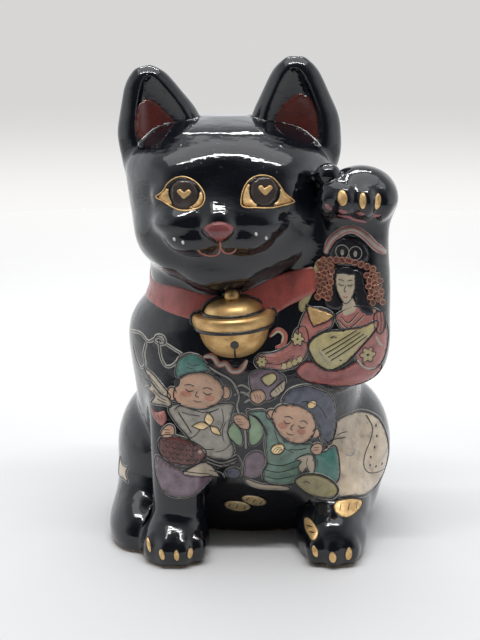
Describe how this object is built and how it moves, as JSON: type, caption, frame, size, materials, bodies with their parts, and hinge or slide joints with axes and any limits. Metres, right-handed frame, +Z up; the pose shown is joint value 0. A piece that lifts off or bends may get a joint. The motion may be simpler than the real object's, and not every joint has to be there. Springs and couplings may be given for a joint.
{
  "type": "beckoning cat figurine",
  "caption": "Seated hollow ceramic cat with one foreleg raised, gilt bell on a red collar, raised enamel painting, and a rubber stopper that plugs the opening in its base.",
  "frame": {"origin": "middle of the footprint on the surface that the cat stands on", "axes": "+Z up, the face looks toward -Y, +X is the viewer's right, where the cat's raised left foreleg is"},
  "size_m": [0.112, 0.104, 0.1804],
  "materials": {
    "black_glaze": "high-gloss black glaze on white cast clay",
    "collar_enamel": "satin-gloss brick red overglaze enamel",
    "gilt_relief": "brushed gilding over raised relief, shaded brown",
    "gilding": "bright fired gold",
    "nose_enamel": "gloss dusty rose enamel",
    "mouth_enamel": "gloss orange-red enamel line",
    "ear_enamel": "gloss red-brown enamel",
    "white_enamel": "gloss white enamel drops",
    "black_enamel": "satin black enamel",
    "pad_enamel": "gloss mauve-pink enamel",
    "painting_robes": "raised translucent enamels inside black outlines",
    "painting_cream": "raised cream enamel inside black outlines",
    "painting_rose": "raised rose and red enamels inside black outlines",
    "painting_mauve": "raised mauve enamel inside black outlines",
    "stopper_rubber": "soft matte black rubber"
  },
  "bodies": {
    "cat": {"bell_bowl": "gilt_relief", "bell_dome": "gilt_relief", "bell_knob": "gilt_relief", "bell_rim": "gilt_relief", "chest_coins": "gilding", "collar_band": "collar_enamel", "cord_bow": "painting_cream", "front_paw_claws": "gilding", "haunch_coin": "gilding", "head_casting": "black_glaze", "hind_paw_claws": "gilding", "left_ear": "black_glaze", "left_ear_lining": "ear_enamel", "left_eye_gold": "gilding", "left_foreleg_raised": "black_glaze", "left_haunch": "black_glaze", "left_hind_foot": "black_glaze", "left_iris": "black_enamel", "left_pupil": "gilding", "mouth_line": "mouth_enamel", "nose_enamel": "nose_enamel", "panel_lute_figure": "painting_rose", "panel_mallet_hand": "painting_mauve", "panel_pouch": "painting_cream", "panel_reclining_figure": "painting_robes", "panel_sack": "painting_cream", "panel_seated_figure": "painting_robes", "panel_sleeve": "painting_rose", "raised_paw_claws": "gilding", "raised_paw_pads": "pad_enamel", "right_ear": "black_glaze", "right_ear_lining": "ear_enamel", "right_eye_gold": "gilding", "right_foreleg_standing": "black_glaze", "right_haunch": "black_glaze", "right_hind_foot": "black_glaze", "right_iris": "black_enamel", "right_pupil": "gilding", "tail": "black_glaze", "toe_coin": "gilding", "torso_casting": "black_glaze", "whisker_dots": "white_enamel"},
    "stopper": {"base_stopper": "stopper_rubber"}
  },
  "joints": [
    {"name": "stopper_pull", "type": "slide", "parent": "cat", "child": "stopper", "axis": [0, 0, -1], "range_m": [0, 0.025]}
  ]
}
